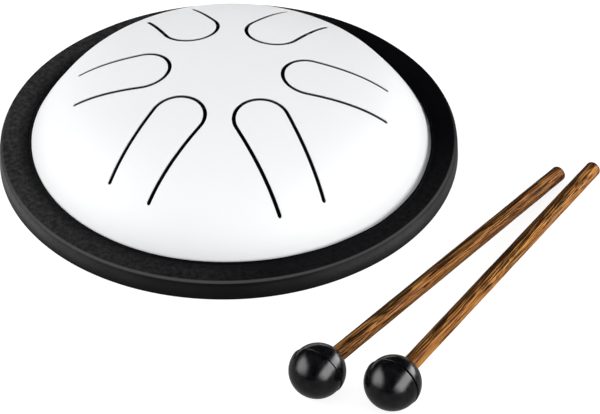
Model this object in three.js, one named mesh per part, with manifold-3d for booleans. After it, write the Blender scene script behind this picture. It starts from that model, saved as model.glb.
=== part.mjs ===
// A small steel tongue drum with its pair of mallets.
//
// Millimetres, +Z up.  Everything rests on the plane Z = 0, and the origin is the
// middle of the whole set's footprint.  The drum is built about its own axis, with
// the mallets placed beside it on its +X, -Y side; the set is then moved to the origin.

import * as THREE from 'three';
import { mergeVertices } from 'three/addons/utils/BufferGeometryUtils.js';
import Module from 'manifold-3d';

// ---------------------------------------------------------------- dimensions

const AROUND = 80;              // facets round the drum

// domed top shell, pressed from sheet steel
const SHEET = 1.0;              // sheet thickness
const DOME_R = 76.7;            // where the dome meets its foot
const DOME_Z = 7.32;            // height of that line
const DOME_RISE = 31.13;        // dome crown above that line
const FLANGE_R = 83.6;          // outer edge of the shell's flange
const FLANGE_Z = 4.8;           // upper face of that flange

// [power, share of the rise lost at (r / DOME_R) ^ power]
const DOME_LOSS = [[2, 0.4779], [4, -0.0020], [6, 0.4717], [10, 0.0524]];

// radii at which the dome is sampled
const DOME_STATIONS = [0, 11, 23, 34, 44, 52.5, 59.5, 65, 69.5, 73.5, DOME_R];

// from the dome the sheet rolls out into the flange: [radius, z], inwards to outwards
const FOOT_UPPER = [[77.45, 6.28], [78.4, 5.3], [80.2, FLANGE_Z]];
const FOOT_LOWER = [[76.65, 5.7], [77.75, 4.5], [80.0, FLANGE_Z - SHEET]];

// tongues, parted from the shell by U-shaped cuts
const KERF = 1.5;               // width of the cut
const ROOT_GAP = 0.3;           // parting between a tongue's root and the shell
const HEAD_STEPS = 18;          // facets of the cut round a tongue's head
const CUT_END_STEPS = 8;        // facets of the cut's round ends
const CUTTER_Z0 = 2;            // the plan outlines are raised between these
const CUTTER_Z1 = 60;           // heights, clear of the dome below and above

// Sizes are of the cut's centreline in plan.  A tongue's head points at the drum's
// axis and its root lies outwards; left is seen from above, looking outwards.
// Angles are in degrees, counterclockwise from above.
const TONGUES = [
  // direction from the axis, skew about the head's centre, radius of that centre,
  // half width of the head, radii where the left and right legs end, half width there
  [-68.19, 0.92, 32.51, 10.42, 66.77, 67.10, 8.98],
  [-125.46, 1.37, 33.04, 10.41, 65.50, 64.50, 9.09],
  [-8.51, -1.78, 31.43, 10.40, 59.84, 61.44, 9.23],
  [175.62, 3.65, 32.78, 10.63, 58.32, 57.27, 9.32],
  [54.25, -3.30, 31.57, 10.47, 53.16, 53.68, 9.59],
  [115.39, 0.90, 32.72, 10.64, 51.19, 50.69, 9.76],
].map(([direction, skew, headAt, headR, leftEnd, rightEnd, rootHalf], i) => ({
  name: `tongue_${i + 1}`, direction, skew, headAt, headR, leftEnd, rightEnd, rootHalf,
}));

// base pan, a shallow pressing that closes the shell from below
const PAN_SHEET = 0.8;
const PAN_R = FLANGE_R;
const PAN_Z = 1.9;              // underside of the pan's flange
const PAN_CROWN_Z = 5.4;        // underside of the pan at the sound port
const PORT_R = 19.0;            // sound port
const PORT_LIP_Z = PAN_CROWN_Z + 3.0;   // top of the port's turned-up lip
const PORT_BEND_LOWER = 0.8;    // bevels where the pan turns up into the lip,
const PORT_BEND_UPPER = 1.2;    // measured from the port's edge and the underside
const PAN_UPPER_SHIFT = 0.1;    // the upper face bends this much further out

// underside of the pan from port to flange: [radius, z]
const PAN_SLOPE = [[48, 4.6], [68, 2.9], [76, PAN_Z]];

// damping gasket between the two flanges
const GASKET_IN = 79.6;
const GASKET_OUT = 83.3;
const GASKET_Z0 = 2.98;
const GASKET_Z1 = 3.5;
const GASKET_AROUND = 64;

// rubber rim ring, a channel that grips both flanges and is the drum's foot
const RING_R = 89.0;
const RING_H = 7.5;
const RING_TOP_R = 87.6;        // outer edge of the flat top face
const RING_TOP_IN = 77.2;       // inner edge of the top lip
const RING_FOOT_IN = 77.0;      // inner edge of the bottom lip
const CHANNEL_R = 84.0;         // bottom of the channel
const CHANNEL_Z0 = 1.6;
const CHANNEL_Z1 = 5.15;

// mallets: a wooden dowel pushed into a moulded rubber ball
const BALL_R = 9.75;            // the half away from the stick
const BALL_REAR_R = 9.6;        // the half on the stick's side is a little smaller
const BALL_AROUND = 24;
const BALL_STEPS = 7;           // facets from the mould line to each pole
const STICK_R = 3.0;
const STICK_REACH = 148.2;      // ball centre to the free end
const STICK_AROUND = 16;
const STICK_CLEARANCE = 0.3;    // stick's inner end to the socket's bottom
const SOCKET_R = 3.3;
const SOCKET_DEPTH = 11.0;      // measured from the ball's rear pole
const SOCKET_OVERRUN = 2;       // the socket's cutter stands this far out of the ball
const SOCKET_FLOOR = BALL_REAR_R - SOCKET_DEPTH;  // along the stick from the ball centre
const MALLETS = [
  // ball centre in plan; heading of the stick and tilt of the mould line, in degrees
  { name: 'mallet_1', x: 27.8, y: -136.8, heading: 48.60, mouldTilt: 5.5 },
  { name: 'mallet_2', x: 52.9, y: -143.7, heading: 54.30, mouldTilt: -2.5 },
];

// ----------------------------------------------------------------- materials

const WHITE = 0xf2f3f5;
const BLACK = 0x1b1b1d;

const finish = (color, roughness) => (
  new THREE.MeshStandardMaterial({ color, roughness, metalness: 0 })
);
const MATERIALS = {
  shell: finish(WHITE, 0.28),
  pan: finish(WHITE, 0.35),
  gasket: finish(0x3a3a3c, 0.9),
  ring: finish(BLACK, 0.75),
  ball: finish(BLACK, 0.4),
  wood: finish(0x9a6434, 0.55),
};

// ------------------------------------------------------------------- helpers

const wasm = await Module();
wasm.setup();
const DEG = Math.PI / 180;

// a closed three.js geometry as a Manifold solid
function solid(geometry) {
  geometry.deleteAttribute('normal');
  geometry.deleteAttribute('uv');
  const welded = mergeVertices(geometry, 1e-4);
  const position = welded.attributes.position;
  const index = welded.index.array;

  // facets that collapse on the axis are left out
  const triangles = [];
  for (let i = 0; i < index.length; i += 3) {
    const [a, b, c] = [index[i], index[i + 1], index[i + 2]];
    if (a !== b && b !== c && a !== c) triangles.push(a, b, c);
  }

  // an inside-out surface has a negative volume and is turned round
  const corner = (i) => new THREE.Vector3().fromBufferAttribute(position, triangles[i]);
  let volume = 0;
  for (let i = 0; i < triangles.length; i += 3) {
    volume += corner(i).dot(corner(i + 1).cross(corner(i + 2)));
  }
  if (volume < 0) {
    for (let i = 0; i < triangles.length; i += 3) {
      [triangles[i + 1], triangles[i + 2]] = [triangles[i + 2], triangles[i + 1]];
    }
  }
  return new wasm.Manifold(new wasm.Mesh({
    numProp: 3,
    vertProperties: new Float32Array(position.array),
    triVerts: new Uint32Array(triangles),
  }));
}

function mesh(name, body, material) {
  const { vertProperties, triVerts } = body.getMesh();
  const geometry = new THREE.BufferGeometry();
  geometry.setAttribute('position', new THREE.Float32BufferAttribute(vertProperties, 3));
  geometry.setIndex(new THREE.Uint32BufferAttribute(triVerts, 1));
  geometry.computeVertexNormals();
  const result = new THREE.Mesh(geometry, material);
  result.name = name;
  return result;
}

// a profile of [radius, z] pairs turned about the Z axis
function turned(profile, segments = AROUND) {
  const points = profile.map(([radius, z]) => new THREE.Vector2(radius, z));
  return new THREE.LatheGeometry(points, segments).rotateX(Math.PI / 2);
}

// the same for a profile that stays clear of the axis, closed back to its start
const turnedRing = (profile, segments) => turned([...profile, profile[0]], segments);

// ----------------------------------------------------------------- top shell

function domeHeight(radius) {
  const x = radius / DOME_R;
  const lost = DOME_LOSS.reduce((sum, [power, share]) => sum + share * x ** power, 0);
  return DOME_Z + DOME_RISE * (1 - lost);
}

function domeSlope(radius) {
  const x = radius / DOME_R;
  const rate = DOME_LOSS.reduce(
    (sum, [power, share]) => sum + share * power * x ** (power - 1), 0,
  );
  return -DOME_RISE / DOME_R * rate;
}

// the shell before its tongues are cut
function shellBlank() {
  const outer = DOME_STATIONS.map((radius) => [radius, domeHeight(radius)]);
  // one sheet thickness in, square to the dome
  const inner = DOME_STATIONS.map((radius) => {
    const slope = domeSlope(radius);
    const length = Math.hypot(1, slope);
    return [radius + SHEET * slope / length, domeHeight(radius) - SHEET / length];
  });
  return solid(turned([
    ...outer, ...FOOT_UPPER,
    [FLANGE_R, FLANGE_Z], [FLANGE_R, FLANGE_Z - SHEET],
    ...FOOT_LOWER.toReversed(), ...inner.toReversed(),
  ]));
}

// ------------------------------------------------------------------- tongues

// points round a centre, at 'steps' equal steps from one angle to another
function arcPoints(centre, radius, from, to, steps) {
  return Array.from({ length: steps + 1 }, (_, i) => {
    const angle = from + (to - from) * i / steps;
    return new THREE.Vector2(Math.cos(angle), Math.sin(angle))
      .multiplyScalar(radius).add(centre);
  });
}

// One edge of the cut, 'offset' outside its centreline, in the tongue's own frame:
// x runs outwards from the drum's axis, y to the left.
function cutEdge(tongue, offset) {
  const makeLeg = (side, reach) => {
    const start = new THREE.Vector2(tongue.headAt, side * tongue.headR);
    const end = new THREE.Vector2(reach, side * tongue.rootHalf);
    const along = end.clone().sub(start).normalize();
    const outward = new THREE.Vector2(-along.y, along.x).multiplyScalar(side);
    return {
      side, end, along, outward,
      angle: Math.atan2(outward.y, outward.x),
      edgeEnd: end.clone().addScaledVector(outward, offset),
    };
  };
  const left = makeLeg(1, tongue.leftEnd);
  const right = makeLeg(-1, tongue.rightEnd);
  const centre = new THREE.Vector2(tongue.headAt, 0);
  const head = arcPoints(
    centre, tongue.headR + offset, left.angle, right.angle + 2 * Math.PI, HEAD_STEPS,
  );
  return { left, right, head };
}

// the hole left in the shell, with the round ends of the cut
function openingOutline(tongue) {
  const { left, right, head } = cutEdge(tongue, KERF / 2);
  const halfGap = ROOT_GAP / 2;
  const roundEnd = (leg) => arcPoints(
    leg.end, KERF / 2, leg.angle, leg.angle - leg.side * Math.PI, CUT_END_STEPS,
  ).slice(1, -1);
  // where the round end meets the parting across the root
  const rootCorner = (leg) => leg.end.clone()
    .addScaledVector(leg.outward, -Math.sqrt((KERF / 2) ** 2 - halfGap ** 2))
    .addScaledVector(leg.along, halfGap);
  return [
    left.edgeEnd, ...head, right.edgeEnd,
    ...roundEnd(right), rootCorner(right),
    rootCorner(left), ...roundEnd(left).reverse(),
  ];
}

function tongueOutline(tongue) {
  const { left, right, head } = cutEdge(tongue, -KERF / 2);
  const rootCorner = (leg) => leg.edgeEnd.clone().addScaledVector(leg.along, -ROOT_GAP / 2);
  return [rootCorner(left), ...head, rootCorner(right)];
}

// an outline in the tongue's frame, turned into place and raised through the dome
function cutter(tongue, outline) {
  const centre = new THREE.Vector2(tongue.headAt, 0);
  const axis = new THREE.Vector2();
  const placed = outline.map((point) => point.clone()
    .rotateAround(centre, tongue.skew * DEG)
    .rotateAround(axis, tongue.direction * DEG));
  const geometry = new THREE.ExtrudeGeometry(new THREE.Shape(placed), {
    depth: CUTTER_Z1 - CUTTER_Z0,
    bevelEnabled: false,
    curveSegments: 1,
  });
  return solid(geometry.translate(0, 0, CUTTER_Z0));
}

// the cut shell and its tongues
function shellMeshes() {
  const blank = shellBlank();
  const shell = TONGUES.reduce(
    (body, tongue) => body.subtract(cutter(tongue, openingOutline(tongue))), blank,
  );
  const tongues = TONGUES.map((tongue) => {
    const body = blank.intersect(cutter(tongue, tongueOutline(tongue)));
    return mesh(tongue.name, body, MATERIALS.shell);
  });
  return [mesh('top_shell', shell, MATERIALS.shell), ...tongues];
}

// ------------------------------------------------- base pan, gasket, rim ring

function panSolid() {
  const upperSlope = PAN_SLOPE.map(([radius, z]) => [radius + PAN_UPPER_SHIFT, z + PAN_SHEET]);
  return solid(turnedRing([
    [PORT_R, PORT_LIP_Z],
    [PORT_R, PAN_CROWN_Z + PORT_BEND_LOWER],
    [PORT_R + PORT_BEND_LOWER, PAN_CROWN_Z],
    ...PAN_SLOPE,
    [PAN_R, PAN_Z],
    [PAN_R, PAN_Z + PAN_SHEET],
    ...upperSlope.reverse(),
    [PORT_R + PORT_BEND_UPPER, PAN_CROWN_Z + PAN_SHEET],
    [PORT_R + PAN_SHEET, PAN_CROWN_Z + PORT_BEND_UPPER],
    [PORT_R + PAN_SHEET, PORT_LIP_Z],
  ]));
}

function gasketSolid() {
  return solid(turnedRing([
    [GASKET_IN, GASKET_Z0], [GASKET_OUT, GASKET_Z0],
    [GASKET_OUT, GASKET_Z1], [GASKET_IN, GASKET_Z1],
  ], GASKET_AROUND));
}

function ringSolid() {
  return solid(turnedRing([
    // foot and outer wall
    [RING_FOOT_IN, 0], [RING_R - 0.5, 0], [RING_R, 0.5],
    [RING_R - 0.35, RING_H - 1.2], [RING_TOP_R, RING_H],
    // groove that sets off the inner lip
    [79.4, RING_H], [78.9, RING_H - 0.5], [78.4, RING_H - 0.1],
    // inner lip and its underside
    [RING_TOP_IN, RING_H - 0.3], [78.0, 6.3], [79.3, CHANNEL_Z1],
    // channel
    [CHANNEL_R, CHANNEL_Z1], [CHANNEL_R, CHANNEL_Z0], [RING_FOOT_IN, CHANNEL_Z0],
  ]));
}

// ------------------------------------------------------------------- mallets

// A mallet is built along +X with its ball's centre at the origin.

function ballSolid(mouldTilt) {
  const station = (radius, step) => {
    const angle = (Math.PI / 2) * step / BALL_STEPS;
    return [radius * Math.cos(angle), radius * Math.sin(angle)];
  };
  const steps = Array.from({ length: BALL_STEPS - 1 }, (_, i) => i + 1);
  const ball = turned([
    [0, -BALL_R],
    ...steps.toReversed().map((step) => station(BALL_R, -step)),
    // a shallow notch marks the mould line
    [BALL_R, -0.12], [BALL_REAR_R - 0.25, 0], [BALL_REAR_R - 0.02, 0.3],
    ...steps.map((step) => station(BALL_REAR_R, step)),
    [0, BALL_REAR_R],
  ], BALL_AROUND).rotateY(Math.PI / 2).rotateZ(mouldTilt * DEG);

  const length = SOCKET_DEPTH + SOCKET_OVERRUN;
  const socket = new THREE.CylinderGeometry(SOCKET_R, SOCKET_R, length, STICK_AROUND)
    .rotateZ(Math.PI / 2)
    .translate(SOCKET_FLOOR + length / 2, 0, 0);
  return solid(ball).subtract(solid(socket));
}

function stickSolid() {
  const start = SOCKET_FLOOR + STICK_CLEARANCE;
  return solid(turned([
    // bevelled end in the socket
    [0, start], [STICK_R - 0.3, start], [STICK_R, start + 0.3],
    // rounded free end
    [STICK_R, STICK_REACH - 0.7], [STICK_R - 0.22, STICK_REACH - 0.2],
    [STICK_R - 0.75, STICK_REACH], [0, STICK_REACH],
  ], STICK_AROUND).rotateY(Math.PI / 2));
}

// tipped so that the ball and the stick's free end both rest on the plane
function malletGroup({ name, x, y, heading, mouldTilt }) {
  const group = new THREE.Group();
  group.add(mesh(`${name}_head`, ballSolid(mouldTilt), MATERIALS.ball));
  group.add(mesh(`${name}_stick`, stickSolid(), MATERIALS.wood));
  const tip = Math.asin((BALL_R - STICK_R) / STICK_REACH);
  group.rotation.set(0, tip, heading * DEG, 'ZYX');
  group.position.set(x, y, BALL_R);
  return group;
}

// ------------------------------------------------------------------ assembly

const drum = new THREE.Group();
drum.add(...shellMeshes());
drum.add(mesh('base_pan', panSolid(), MATERIALS.pan));
drum.add(mesh('flange_gasket', gasketSolid(), MATERIALS.gasket));
drum.add(mesh('rim_ring', ringSolid(), MATERIALS.ring));

const set = new THREE.Group();
set.add(drum, ...MALLETS.map(malletGroup));

// footprint centre to the origin
set.updateMatrixWorld(true);
const footprint = new THREE.Box3().setFromObject(set, true).getCenter(new THREE.Vector3());
set.position.set(-footprint.x, -footprint.y, 0);

export default set;
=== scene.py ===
"""A small steel tongue drum with two mallets.

The drum lies flat on the floor (z = 0) with its axis upright: a white pressed dome with six
U-shaped cuts, a base pan with a round port, a strip between their flanges and a rubber ring
round the rim.  The camera looks from -Y, so -Y is the front and +X the right.  Shapes are
worked out in millimetres about the drum's axis and scaled to metres when a mesh is made.
Shaders, lights and camera are in metres.
"""
import math
from collections import namedtuple

import bmesh
import bpy
import numpy as np
from mathutils import Matrix, Vector
from mathutils.geometry import delaunay_2d_cdt


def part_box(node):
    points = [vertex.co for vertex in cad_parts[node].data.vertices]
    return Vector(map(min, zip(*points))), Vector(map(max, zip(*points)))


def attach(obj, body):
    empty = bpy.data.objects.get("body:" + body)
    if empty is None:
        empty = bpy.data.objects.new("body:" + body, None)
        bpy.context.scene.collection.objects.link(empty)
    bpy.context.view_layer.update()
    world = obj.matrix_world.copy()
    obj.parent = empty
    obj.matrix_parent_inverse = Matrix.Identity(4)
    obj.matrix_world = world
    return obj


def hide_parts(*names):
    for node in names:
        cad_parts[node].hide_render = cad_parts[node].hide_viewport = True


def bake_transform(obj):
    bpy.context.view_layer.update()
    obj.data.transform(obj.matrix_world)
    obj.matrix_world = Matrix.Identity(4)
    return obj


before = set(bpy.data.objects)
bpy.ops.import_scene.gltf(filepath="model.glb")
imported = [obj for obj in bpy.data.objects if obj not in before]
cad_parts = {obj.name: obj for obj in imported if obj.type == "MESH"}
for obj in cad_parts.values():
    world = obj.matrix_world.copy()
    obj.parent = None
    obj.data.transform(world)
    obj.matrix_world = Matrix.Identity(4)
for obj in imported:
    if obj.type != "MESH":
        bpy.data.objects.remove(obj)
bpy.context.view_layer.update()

# --------------------------------------------------------------------------
# Sizes
# --------------------------------------------------------------------------
MM = 0.001
ring_low, ring_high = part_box("rim_ring")
AXIS_X = (ring_low.x + ring_high.x) / 2     # metres
AXIS_Y = (ring_low.y + ring_high.y) / 2

BODY_SHIFT = (0.24, 0.42)     # the steel body sits this far off the rubber ring's centre
LIP_SHIFT = (0.395, -0.035)   # and the ring's soft lip this far

SHEET = 1.0                   # thickness of the dome's steel
DOME_R, DOME_Z, DOME_RISE = 76.7, 7.32, 31.13
# the crown's fall from its top: (power of the relative radius, share of the rise)
DOME_TERMS = ((2, 0.4779), (4, -0.0020), (6, 0.4717), (10, 0.0524))
FOOT_R, FLANGE_R, FLANGE_Z = 79.9, 83.6, 4.8

KERF = 1.50                   # width of the cuts
KERF_END = 1.05               # the cuts' round ends are this much wider
CUT_ROUNDING = 0.22           # rounding of a cut's upper edge
COATED = 0.40                 # how far down a cut's walls the white coat reaches
CUT_BEVEL = 0.12              # bevel of a cut's lower edge

# name, direction and skew (degrees), radius at which the round head lies, the head's own
# radius, radius at which the left and right legs end, half the width between the legs' ends
TONGUES = (
    ("tongue_1", -68.19, 0.92, 32.51, 10.32, 67.20, 67.60, 8.98),
    ("tongue_2", -125.46, 1.37, 33.04, 10.25, 65.85, 64.55, 9.09),
    ("tongue_3", -8.51, -1.78, 31.43, 10.40, 59.84, 61.44, 9.23),
    ("tongue_4", 175.62, 3.65, 32.78, 10.63, 58.32, 57.27, 9.32),
    ("tongue_5", 54.25, -3.30, 31.57, 10.47, 53.16, 53.68, 9.59),
    ("tongue_6", 115.39, 0.90, 32.72, 10.64, 51.19, 50.69, 9.76),
)
# small departures of single tongues from the pattern, in plan
NUDGE = {
    "tongue_1": (-0.10, 0.12),
    "tongue_2": (0.02, 0.20),
    "tongue_5": (-0.38, 0.25),
    "tongue_6": (0.0, 0.42),
}

# how far the dome's foot stands in from a true circle: (compass angle, inset)
FOOT_INSET = (
    (-180, 0.05), (0, 0.05), (8, 0.12), (16, 0.38), (30, 0.82), (40, 0.50), (48, 0.22),
    (60, 0.0), (115, 0.05), (120, 0.18), (131, 0.50), (142, 0.62), (153, 0.66), (160, 0.40),
    (167, 0.20), (180, 0.05))

# base pan: (radius, height), outward along the underside, then inward along the upper side
PORT_R = 19.0
PAN_UNDERSIDE = [
    (PORT_R, 8.4), (PORT_R, 6.35), (19.25, 5.72), (19.85, 5.42), (21.5, 5.38), (30, 5.22),
    (40, 4.93), (50, 4.46), (60, 3.74), (68, 2.92), (72.5, 2.33), (75.0, 2.0), (76.6, 1.9),
    (78.5, 1.9), (83.3, 1.9)]
PAN_UPPER_SIDE = [
    (83.6, 2.1), (83.6, 2.5), (83.4, 2.7), (78.5, 2.7), (76.7, 2.7), (75.1, 2.81),
    (72.6, 3.14), (68.1, 3.73), (60.15, 4.55), (50.1, 5.27), (40.1, 5.74), (30.05, 6.03),
    (22.0, 6.19), (20.55, 6.3), (20.0, 6.65), (19.8, 7.1), (19.8, 8.4), (19.65, 8.62),
    (19.4, 8.7), (19.15, 8.62)]

# closed profiles: (radius, height, rounding of the corner)
STRIP_CORNERS = [(79.6, 2.98, 0.12), (83.3, 2.98, 0.12), (83.3, 3.5, 0.12), (79.6, 3.5, 0.12)]
RING_CORNERS = [
    (77.0, 0.0, 0.35), (89.05, 0.0, 0.22), (88.72, 4.6, 3.0), (88.2, 7.5, 1.05),
    (83.0, 7.56, 12.0), (78.36, 7.46, 0.22), (78.04, 7.02, 0.10), (77.74, 7.42, 0.16),
    (76.56, 7.66, 0.16), (77.75, 6.25, 0.4), (79.3, 5.2, 0.5), (84.4, 5.15, 0.3),
    (84.4, 1.6, 0.3), (77.0, 1.6, 0.3)]
# how far the ring's soft lip stands off the steel: (compass angle, gap)
LIP_GAP = (
    (-180, -0.12), (-160, 0.05), (-135, 0.15), (-110, 0.32), (-90, 0.28), (-75, 0.65),
    (-60, 1.20), (-45, 2.05), (-30, 2.1), (-15, 1.55), (0, 0.92), (8, 0.42), (16, -0.25),
    (22, -0.50), (30, -0.75), (40, -0.45), (50, -0.15), (60, 0.05), (90, 0.40), (115, 0.30),
    (131, -0.22), (142, -0.45), (153, -0.62), (160, -0.40), (167, -0.27), (180, -0.12))
# how far the ring's outside strays from round: (compass angle, offset)
RING_STRAY = (
    (-180, 0.10), (-150, 0.15), (-120, 0.20), (-90, 0.18), (-60, -0.04), (-45, 0.02),
    (-30, 0.10), (-10, 0.15), (0, 0.13), (18, -0.18), (41, -0.56), (55, -0.41), (90, -0.50),
    (118, -0.32), (125, -0.40), (155, 0.0), (168, 0.04), (180, 0.10))

BALL_R = 9.75                 # the half away from the stick
BALL_STICK_SIDE_R = 9.66      # the half the stick enters
BALL_SLIP = 0.20              # each half is moved this far sideways
STICK_R, STICK_START, STICK_END = 3.0, -1.2, 148.2   # along the stick from the ball's centre
# name, ball's centre from the drum's axis (x, y), heading of the stick (degrees), then the
# ball's seam: turn about Z and lean about Y (degrees), gap
MALLETS = (
    ("mallet_1", 27.8, -136.8, 48.60, 5.2, 8.5, 0.16),
    ("mallet_2", 52.9, -143.7, 54.30, 2.4, 2.0, 0.42),
)


# --------------------------------------------------------------------------
# Mesh helpers
# --------------------------------------------------------------------------
def link_object(name, data):
    ob = bpy.data.objects.new(name, data)
    bpy.context.scene.collection.objects.link(ob)
    return ob


def shade_smooth(mesh):
    mesh.polygons.foreach_set("use_smooth", [True] * len(mesh.polygons))


def new_object(name, verts, faces):
    """A smooth-shaded object from vertices in millimetres."""
    mesh = bpy.data.meshes.new(name)
    points = (np.asarray(verts, float) * MM).tolist()
    mesh.from_pydata(points, [], [list(map(int, f)) for f in faces])
    mesh.validate(verbose=False)
    mesh.update()
    shade_smooth(mesh)
    return link_object(name, mesh)


def give(ob, *materials):
    ob.data.materials.clear()
    for material in materials:
        ob.data.materials.append(material)


def register(ob, node, body=None):
    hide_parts(node)
    if body:
        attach(ob, body)


def signed_volume(verts, faces):
    total = 0.0
    for f in faces:
        first = verts[f[0]]
        for i in range(1, len(f) - 1):
            total += float(np.dot(first, np.cross(verts[f[i]], verts[f[i + 1]])))
    return total / 6


def mark_sharp(ob, degrees):
    """Edges whose faces meet more sharply than this keep a crisp edge."""
    bm = bmesh.new()
    bm.from_mesh(ob.data)
    limit = math.radians(degrees)
    for e in bm.edges:
        e.smooth = not (len(e.link_faces) == 2 and e.calc_face_angle(0.0) > limit)
    bm.to_mesh(ob.data)
    bm.free()


def face_outward(ob):
    """Makes every face of a closed mesh point out."""
    bm = bmesh.new()
    bm.from_mesh(ob.data)
    bmesh.ops.recalc_face_normals(bm, faces=bm.faces)
    if bm.calc_volume(signed=True) < 0:
        bmesh.ops.reverse_faces(bm, faces=bm.faces)
    bm.to_mesh(ob.data)
    bm.free()


def rounded(corners, segments):
    """A closed profile of (radius, height, rounding), its corners turned into arcs."""
    out = []
    for i, (*place, rounding) in enumerate(corners):
        corner = np.array(place, float)
        back = np.array(corners[i - 1][:2], float) - corner
        ahead = np.array(corners[(i + 1) % len(corners)][:2], float) - corner
        back_len, ahead_len = np.linalg.norm(back), np.linalg.norm(ahead)
        back, ahead = back / back_len, ahead / ahead_len
        half = math.acos(float(np.clip(np.dot(back, ahead), -1, 1))) / 2
        if rounding <= 0 or half > math.radians(88):
            out.append(tuple(corner))
            continue
        reach = min(rounding / math.tan(half), 0.45 * back_len, 0.45 * ahead_len)
        radius = reach * math.tan(half)
        middle = (back + ahead) / np.linalg.norm(back + ahead)
        centre = corner + middle * (radius / math.sin(half))
        start = corner + back * reach - centre
        end = corner + ahead * reach - centre
        start_angle = math.atan2(start[1], start[0])
        sweep = math.atan2(end[1], end[0]) - start_angle
        sweep = (sweep + math.pi) % (2 * math.pi) - math.pi
        count = max(2, int(round(segments * abs(sweep) / (math.pi / 2))))
        for j in range(count + 1):
            a = start_angle + sweep * j / count
            out.append((centre[0] + radius * math.cos(a), centre[1] + radius * math.sin(a)))
    return out


def spun(profile, count, closed=True, wobble=None):
    """Turns a profile of (radius, height) about Z.  An open one starts and ends on the axis."""
    verts, faces, rings = [], [], []
    for r, z in profile:
        if r < 1e-9:
            rings.append([len(verts)])
            verts.append((0.0, 0.0, z))
            continue
        rings.append(list(range(len(verts), len(verts) + count)))
        for i in range(count):
            a = 2 * math.pi * i / count
            rr, zz = wobble(r, z, a) if wobble else (r, z)
            verts.append((rr * math.cos(a), rr * math.sin(a), zz))
    for a, b in zip(rings, rings[1:] + (rings[:1] if closed else [])):
        for i in range(count):
            j = (i + 1) % count
            if len(a) == 1:
                faces.append((a[0], b[i], b[j]))
            elif len(b) == 1:
                faces.append((a[j], a[i], b[0]))
            else:
                faces.append((a[i], b[i], b[j], a[j]))
    verts = np.array(verts)
    if signed_volume(verts, faces) < 0:
        faces = [tuple(reversed(f)) for f in faces]
    return verts, faces


def spun_along_x(profile, count, wobble=None):
    """An open profile turned about X instead of Z."""
    verts, faces = spun(profile, count, closed=False, wobble=wobble)
    return verts[:, [2, 1, 0]] * np.array([1, -1, 1]), faces


def smoothstep(t):
    return t * t * (3 - 2 * t)


def clamp01(t):
    return min(max(t, 0.0), 1.0)


def eased(table, angle):
    """Looks up a table of (degrees, value), easing from one entry to the next."""
    for (a0, v0), (a1, v1) in zip(table, table[1:]):
        if a0 <= angle <= a1:
            return v0 + (v1 - v0) * smoothstep((angle - a0) / (a1 - a0))
    return table[-1][1]


def on_axis(verts, shift=BODY_SHIFT):
    """Moves points from the drum's own axis to its place in the scene."""
    v = np.array(verts, float)
    v[:, 0] += AXIS_X / MM + shift[0]
    v[:, 1] += AXIS_Y / MM + shift[1]
    return v


def drawn_in(verts):
    """Pulls the dome's foot in from a true circle."""
    v = np.array(verts, float)
    for p in v:
        r = math.hypot(p[0], p[1])
        if r > 60:
            a = math.atan2(p[1], p[0])
            inset = eased(FOOT_INSET, math.degrees(a)) * smoothstep(min((r - 60) / 13.0, 1.0))
            p[0] -= math.cos(a) * inset
            p[1] -= math.sin(a) * inset
    return v


# --------------------------------------------------------------------------
# The pressed dome: one curved sheet with six U-shaped cuts.  The sheet is made
# whole, so that shell and tongues share every point along a tongue's root, and
# is then divided into the shell, which rides on the drum, and the six tongues.
# --------------------------------------------------------------------------
def dome_z(r):
    """Height of the outer face: the crown, then a cubic foot that runs out into the flange."""
    r = np.asarray(r, float)
    x = r / DOME_R
    crown = DOME_Z + DOME_RISE * (1 - sum(c * x ** n for n, c in DOME_TERMS))
    edge_slope = -DOME_RISE / DOME_R * sum(n * c for n, c in DOME_TERMS)
    width = FOOT_R - DOME_R
    t = np.clip((r - DOME_R) / width, 0, 1)
    foot = (DOME_Z * (1 - 3 * t ** 2 + 2 * t ** 3)
            + width * edge_slope * (t - 2 * t ** 2 + t ** 3)
            + FLANGE_Z * (3 * t ** 2 - 2 * t ** 3))
    return np.where(r <= DOME_R, crown, foot)


def dome_slope(r):
    r = np.asarray(r, float)
    step = 1e-3
    low = np.maximum(r - step, 0)
    return (dome_z(r + step) - dome_z(low)) / (r + step - low)


def sheet_point(xy, depth=0.0):
    """Points a depth below the outer face at plan places xy, and the face's normals there."""
    xy = np.asarray(xy, float)
    r = np.hypot(xy[:, 0], xy[:, 1])
    slope = np.where(r < 1e-6, 0, dome_slope(r))
    safe_r = np.maximum(r, 1e-9)
    normal = np.stack([-slope * xy[:, 0] / safe_r, -slope * xy[:, 1] / safe_r,
                       np.ones_like(r)], 1)
    normal /= np.linalg.norm(normal, axis=1)[:, None]
    point = np.stack([xy[:, 0], xy[:, 1], dome_z(r)], 1)
    return point - normal * np.asarray(depth).reshape(-1, 1), normal


def turned(v, degrees):
    c, s = math.cos(math.radians(degrees)), math.sin(math.radians(degrees))
    return v @ np.array([[c, s], [-s, c]])


# line: the cut's wall line in plan; inward: the direction into the metal at each point;
# first, last: indices between which the line belongs to the tongue; root, tip: the middle of
# the tongue's root and its free end
Cut = namedtuple("Cut", "line inward first last root tip")


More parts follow.
